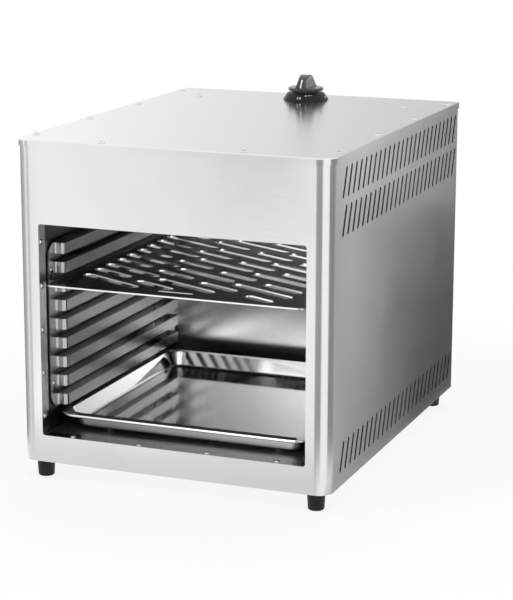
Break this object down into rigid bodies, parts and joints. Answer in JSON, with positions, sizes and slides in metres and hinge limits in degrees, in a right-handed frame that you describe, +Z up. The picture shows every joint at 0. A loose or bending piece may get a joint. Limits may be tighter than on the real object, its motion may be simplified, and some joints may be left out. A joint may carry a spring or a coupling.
{
  "type": "gas cheese melter",
  "caption": "Countertop gas cheese melter: open-fronted steel broiler with rail racks, a slotted grate, a drip tray, slanted side vents and a push-and-turn knob on the lid.",
  "frame": {"origin": "middle of the footprint, on the surface that the feet stand on", "axes": "+Z up, the open front faces -Y, +X is the right-hand side seen from the front"},
  "size_m": [0.358, 0.462, 0.4049],
  "materials": {
    "stainless_steel": "fine brushed, light",
    "rack_steel": "satin",
    "liner_steel": "satin, darkened by heat",
    "plated_steel": "plated, dull",
    "screw_steel": "bright, small",
    "burner_steel": "aluminised, dull",
    "grate_steel": "satin",
    "polished_steel": "polished",
    "ceramic": "porous ceramic, matt",
    "mineral_fibre": "compressed fibre",
    "brass": "machined",
    "pipe_metal": "drawn tube",
    "black_knob": "moulded, semi-gloss",
    "lead_sleeve": "silicone sleeve",
    "white_mark": "painted line",
    "black_rubber": "moulded"
  },
  "bodies": {
    "casing": {"base_plate": "stainless_steel", "base_screws": "screw_steel", "body_shell": "stainless_steel", "burner_box": "burner_steel", "burner_guard": "liner_steel", "burner_pipe": "pipe_metal", "burner_plaques": "ceramic", "crossbar": "plated_steel", "foot_front_left": "black_rubber", "foot_front_right": "black_rubber", "foot_nuts": "plated_steel", "foot_rear_left": "black_rubber", "foot_rear_right": "black_rubber", "foot_studs": "plated_steel", "gas_jet": "brass", "gland_cap": "brass", "igniter_lead": "lead_sleeve", "inlet_pipe": "pipe_metal", "inlet_plate": "plated_steel", "inlet_socket": "brass", "jet_bracket": "plated_steel", "jet_holder": "brass", "knob_bezel": "black_knob", "lid": "stainless_steel", "lid_screws": "screw_steel", "liner_back": "liner_steel", "liner_floor": "liner_steel", "liner_left": "liner_steel", "liner_right": "liner_steel", "liner_supports": "plated_steel", "neck_nut": "plated_steel", "opening_screws": "screw_steel", "partition": "plated_steel", "piezo_block": "black_knob", "pipe_nuts": "brass", "plaque_clamp": "burner_steel", "plaque_gasket": "mineral_fibre", "rack_left": "rack_steel", "rack_right": "rack_steel", "rack_screws": "screw_steel", "rear_panel": "stainless_steel", "rear_screws": "screw_steel", "return_spring": "plated_steel", "spark_electrode": "ceramic", "thermocouple": "plated_steel", "valve_body": "brass", "valve_bottom_cap": "brass", "valve_bracket": "plated_steel", "venturi_tube": "burner_steel"},
    "thrust": {"thrust_collar": "plated_steel"},
    "knob": {"knob": "black_knob", "spindle": "plated_steel", "pointer_line": "white_mark"},
    "plug": {"valve_plug": "brass"},
    "grate": {"grate": "grate_steel"},
    "tray": {"drip_tray": "polished_steel"}
  },
  "joints": [
    {"name": "knob_push", "type": "slide", "parent": "casing", "child": "thrust", "axis": [0, 0, -1], "range_m": [0, 0.0025], "stiffness_N_per_m": 1500, "deforming": ["return_spring"]},
    {"name": "knob_turn", "type": "hinge", "parent": "thrust", "child": "knob", "pos_m": [0, 0.1815, 0.388], "axis": [0, 0, 1], "range_deg": [0, 180]},
    {"name": "plug_turn", "type": "hinge", "parent": "casing", "child": "plug", "pos_m": [0, 0.1815, 0.29], "axis": [0, 0, 1], "range_deg": [0, 180]},
    {"name": "grate_slide", "type": "slide", "parent": "casing", "child": "grate", "axis": [0, -1, 0], "range_m": [0, 0.24]},
    {"name": "tray_slide", "type": "slide", "parent": "casing", "child": "tray", "axis": [0, -1, 0], "range_m": [0, 0.24]}
  ],
  "couplings": [
    {"joint": "plug_turn", "follows": "knob_turn", "ratio": 1}
  ]
}
